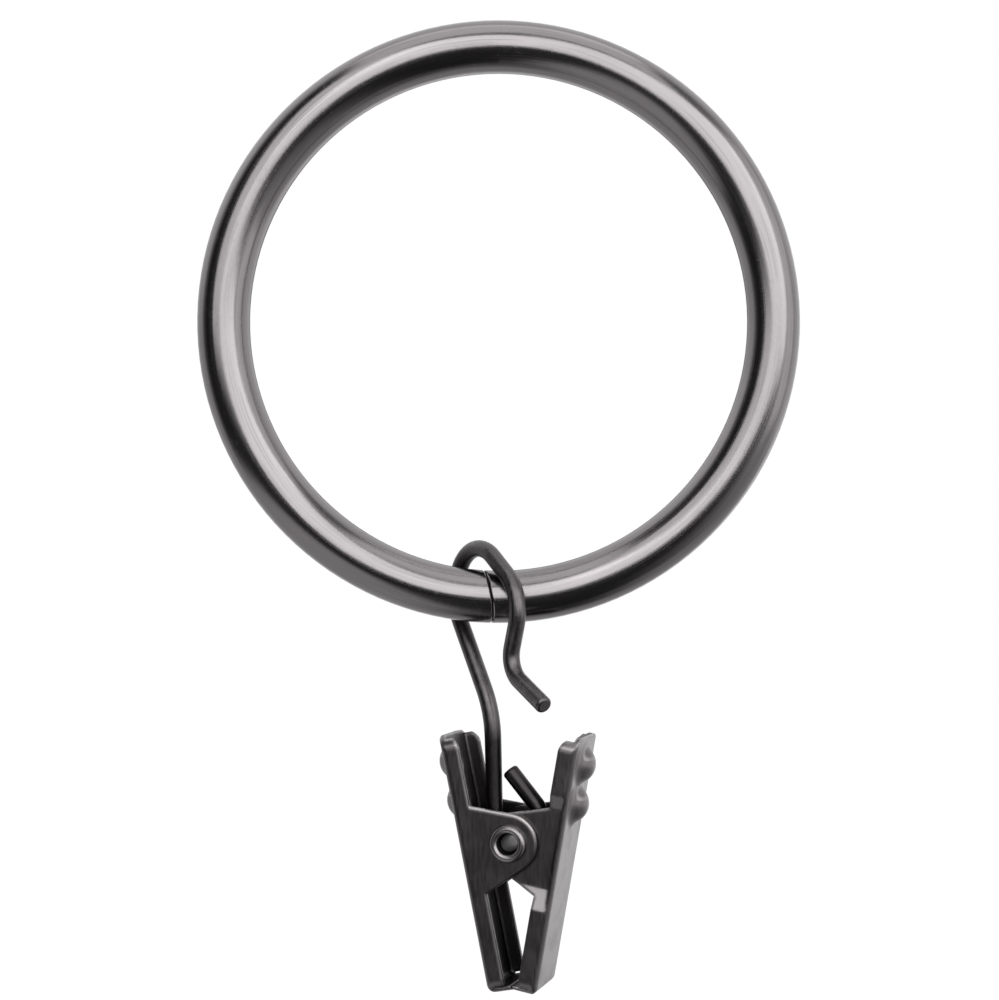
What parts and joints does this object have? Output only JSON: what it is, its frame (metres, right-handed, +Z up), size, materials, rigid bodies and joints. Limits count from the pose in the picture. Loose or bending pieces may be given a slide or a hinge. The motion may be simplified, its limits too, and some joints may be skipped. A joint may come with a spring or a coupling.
{
  "type": "curtain ring with clip",
  "caption": "Round metal curtain ring for a rod, with a bent wire hook over it that carries a small sprung sheet-metal clip for gripping a curtain's edge.",
  "frame": {"origin": "centre of the ring", "axes": "+Y along the curtain rod through the ring, away from the viewer of the picture; +Z up, from the clip to the ring; +X to the right"},
  "size_m": [0.046, 0.0111, 0.0738],
  "materials": {
    "ring_metal": "black nickel plate, polished satin",
    "wire_metal": "black nickel plate, satin",
    "jaw_metal": "black nickel plate, satin",
    "rivet_metal": "black nickel plate, polished",
    "spring_metal": "plain spring steel"
  },
  "bodies": {
    "ring": {"ring": "ring_metal"},
    "hook": {"wire_hook": "wire_metal"},
    "clip": {"left_jaw": "jaw_metal", "rivet": "rivet_metal", "spring": "spring_metal"},
    "moving_jaw": {"right_jaw": "jaw_metal"}
  },
  "joints": [
    {"name": "hook_swing", "type": "hinge", "parent": "ring", "child": "hook", "pos_m": [-0.00104, 0, -0.02097], "axis": [0.9988, 0, -0.0495], "range_deg": [-90, 90]},
    {"name": "clip_swing", "type": "hinge", "parent": "hook", "child": "clip", "pos_m": [0.00159, 0, -0.0394], "axis": [0.3007, 0.9537, 0], "range_deg": [-14, 15]},
    {"name": "jaw_open", "type": "hinge", "parent": "clip", "child": "moving_jaw", "pos_m": [0.00159, 0, -0.0394], "axis": [-0.3007, -0.9537, 0], "range_deg": [0, 24], "stiffness_Nm_per_rad": 0.02, "springref_deg": -28.65, "deforming": ["spring"]}
  ]
}
